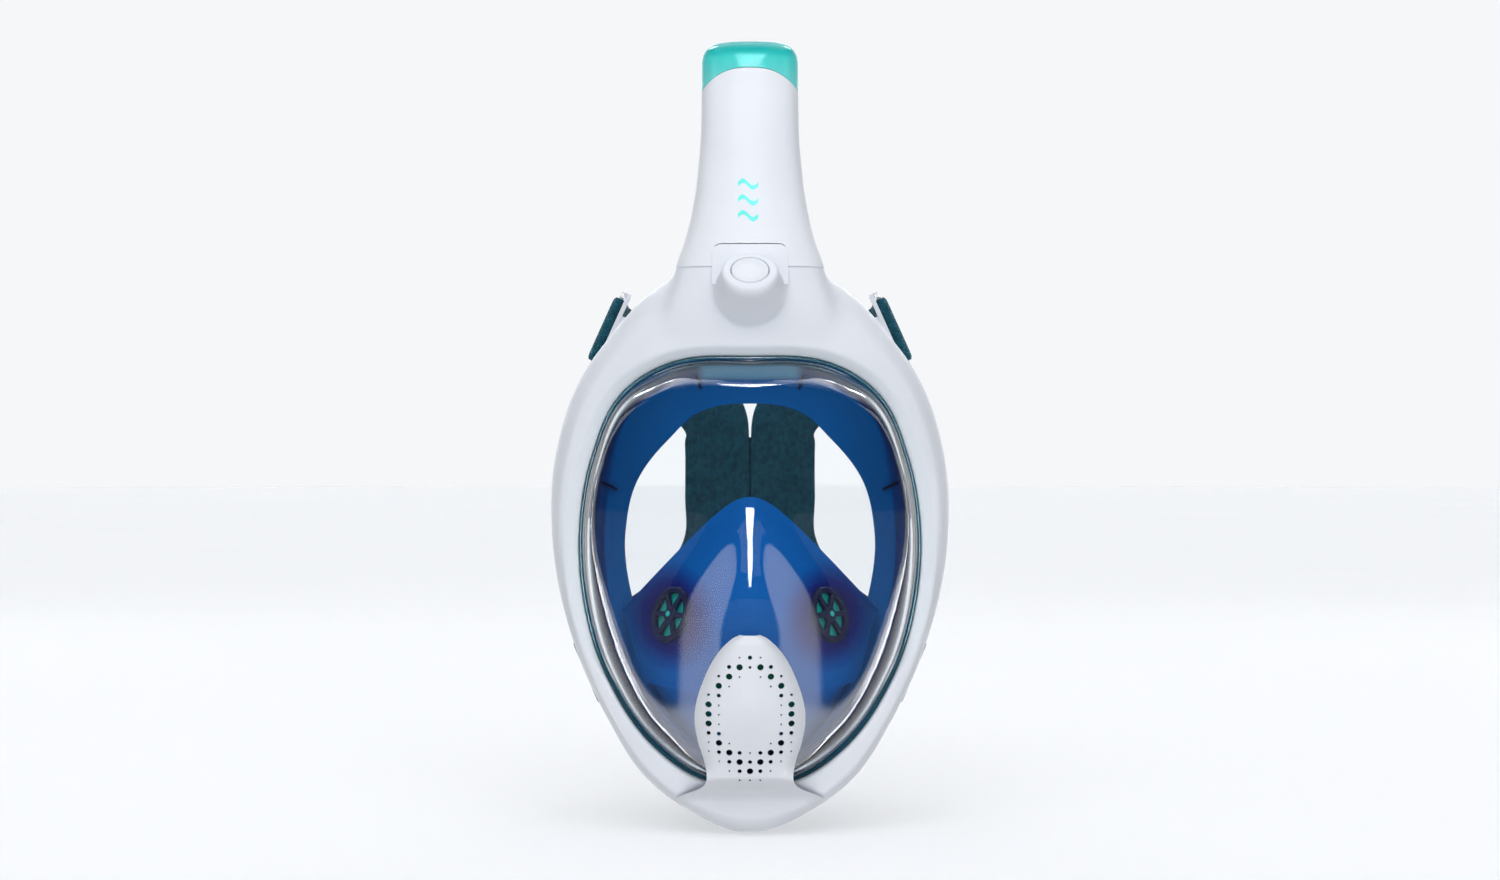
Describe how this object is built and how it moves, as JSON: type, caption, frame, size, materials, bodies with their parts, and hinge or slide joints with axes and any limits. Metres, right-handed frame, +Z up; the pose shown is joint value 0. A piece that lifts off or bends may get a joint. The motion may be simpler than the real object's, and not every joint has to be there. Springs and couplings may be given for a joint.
{
  "type": "full-face snorkel mask",
  "caption": "Full-face swimming mask with a clear window, soft face seal with nose pocket, one-way valves, plug-in dry-top snorkel with release button, and an elastic head strap.",
  "frame": {"origin": "middle of the face seal, on the plane through the temples' seal and the middle of the mask's width", "axes": "+X to the right as seen from the front, +Y from the window back to the face, +Z up the snorkel"},
  "size_m": [0.1904, 0.1743, 0.369],
  "materials": {
    "white_shell": "satin moulded ABS, cool white",
    "clear_window": "clear polycarbonate, polished",
    "gasket_teal": "dark teal silicone",
    "skirt_blue": "translucent blue silicone, satin",
    "strap_teal": "knitted elastic webbing, dark teal",
    "valve_turquoise": "turquoise silicone",
    "seat_navy": "dark navy moulded plastic",
    "cap_turquoise": "translucent turquoise polycarbonate",
    "spring_steel": "drawn stainless wire",
    "float_foam": "closed-cell foam block"
  },
  "bodies": {
    "mask": {"front_frame": "white_shell", "rear_frame": "white_shell", "lens": "clear_window", "lens_gasket": "gasket_teal", "face_skirt": "skirt_blue", "nose_pocket": "skirt_blue", "chin_cover": "white_shell", "chin_valve_seat": "valve_turquoise", "intake_valve_seat_left": "seat_navy", "intake_valve_seat_right": "seat_navy", "button_spring": "spring_steel", "strap_band_left": "strap_teal", "strap_band_right": "strap_teal", "strap_seam_tape": "strap_teal", "strap_anchor_upper_left": "white_shell", "strap_anchor_upper_right": "white_shell", "strap_anchor_lower_left": "white_shell", "strap_anchor_lower_right": "white_shell"},
    "snorkel": {"snorkel_front_shell": "white_shell", "snorkel_rear_shell": "white_shell", "intake_duct": "white_shell", "snorkel_gasket": "seat_navy", "top_cap": "cap_turquoise", "float_cage": "white_shell", "intake_seat": "white_shell"},
    "dry_top_float": {"float": "float_foam", "float_seal": "seat_navy"},
    "exhaust_valve_left": {"exhaust_flap_left": "valve_turquoise"},
    "exhaust_valve_right": {"exhaust_flap_right": "valve_turquoise"},
    "push_button": {"release_button": "white_shell", "latch_hook": "white_shell"},
    "intake_valve_left": {"intake_flap_left": "valve_turquoise"},
    "intake_valve_right": {"intake_flap_right": "valve_turquoise"},
    "chin_valve": {"chin_flap": "seat_navy"},
    "tension_slider_left": {"strap_slider_left": "seat_navy"},
    "tension_slider_right": {"strap_slider_right": "seat_navy"}
  },
  "joints": [
    {"name": "snorkel_lift", "type": "slide", "parent": "mask", "child": "snorkel", "axis": [0, 0.1483, 0.9889], "range_m": [0, 0.016]},
    {"name": "float_rise", "type": "slide", "parent": "snorkel", "child": "dry_top_float", "axis": [0, 0, 1], "range_m": [0, 0.008]},
    {"name": "exhaust_flap_left_swing", "type": "hinge", "parent": "snorkel", "child": "exhaust_valve_left", "pos_m": [-0.0104, -0.00315, 0.2077], "axis": [0, 1, 0], "range_deg": [0, 40]},
    {"name": "exhaust_flap_right_swing", "type": "hinge", "parent": "snorkel", "child": "exhaust_valve_right", "pos_m": [0.0104, -0.00315, 0.2077], "axis": [0, -1, 0], "range_deg": [0, 40]},
    {"name": "button_press", "type": "slide", "parent": "mask", "child": "push_button", "axis": [0, 0.6947, -0.7193], "range_m": [0, 0.0025], "stiffness_N_per_m": 500, "deforming": ["button_spring"]},
    {"name": "intake_flap_left_lift", "type": "slide", "parent": "mask", "child": "intake_valve_left", "axis": [0.7486, 0.6113, -0.2566], "range_m": [0, 0.0012], "stiffness_N_per_m": 60},
    {"name": "intake_flap_right_lift", "type": "slide", "parent": "mask", "child": "intake_valve_right", "axis": [-0.7486, 0.6113, -0.2566], "range_m": [0, 0.0012], "stiffness_N_per_m": 60},
    {"name": "chin_flap_lift", "type": "slide", "parent": "mask", "child": "chin_valve", "axis": [0, -0.96, -0.28], "range_m": [0, 0.0015], "stiffness_N_per_m": 60},
    {"name": "slider_left_adjust", "type": "slide", "parent": "mask", "child": "tension_slider_left", "axis": [-0.4798, -0.812, -0.3322], "range_m": [0, 0.01]},
    {"name": "slider_right_adjust", "type": "slide", "parent": "mask", "child": "tension_slider_right", "axis": [0.4798, -0.812, -0.3322], "range_m": [0, 0.01]}
  ]
}
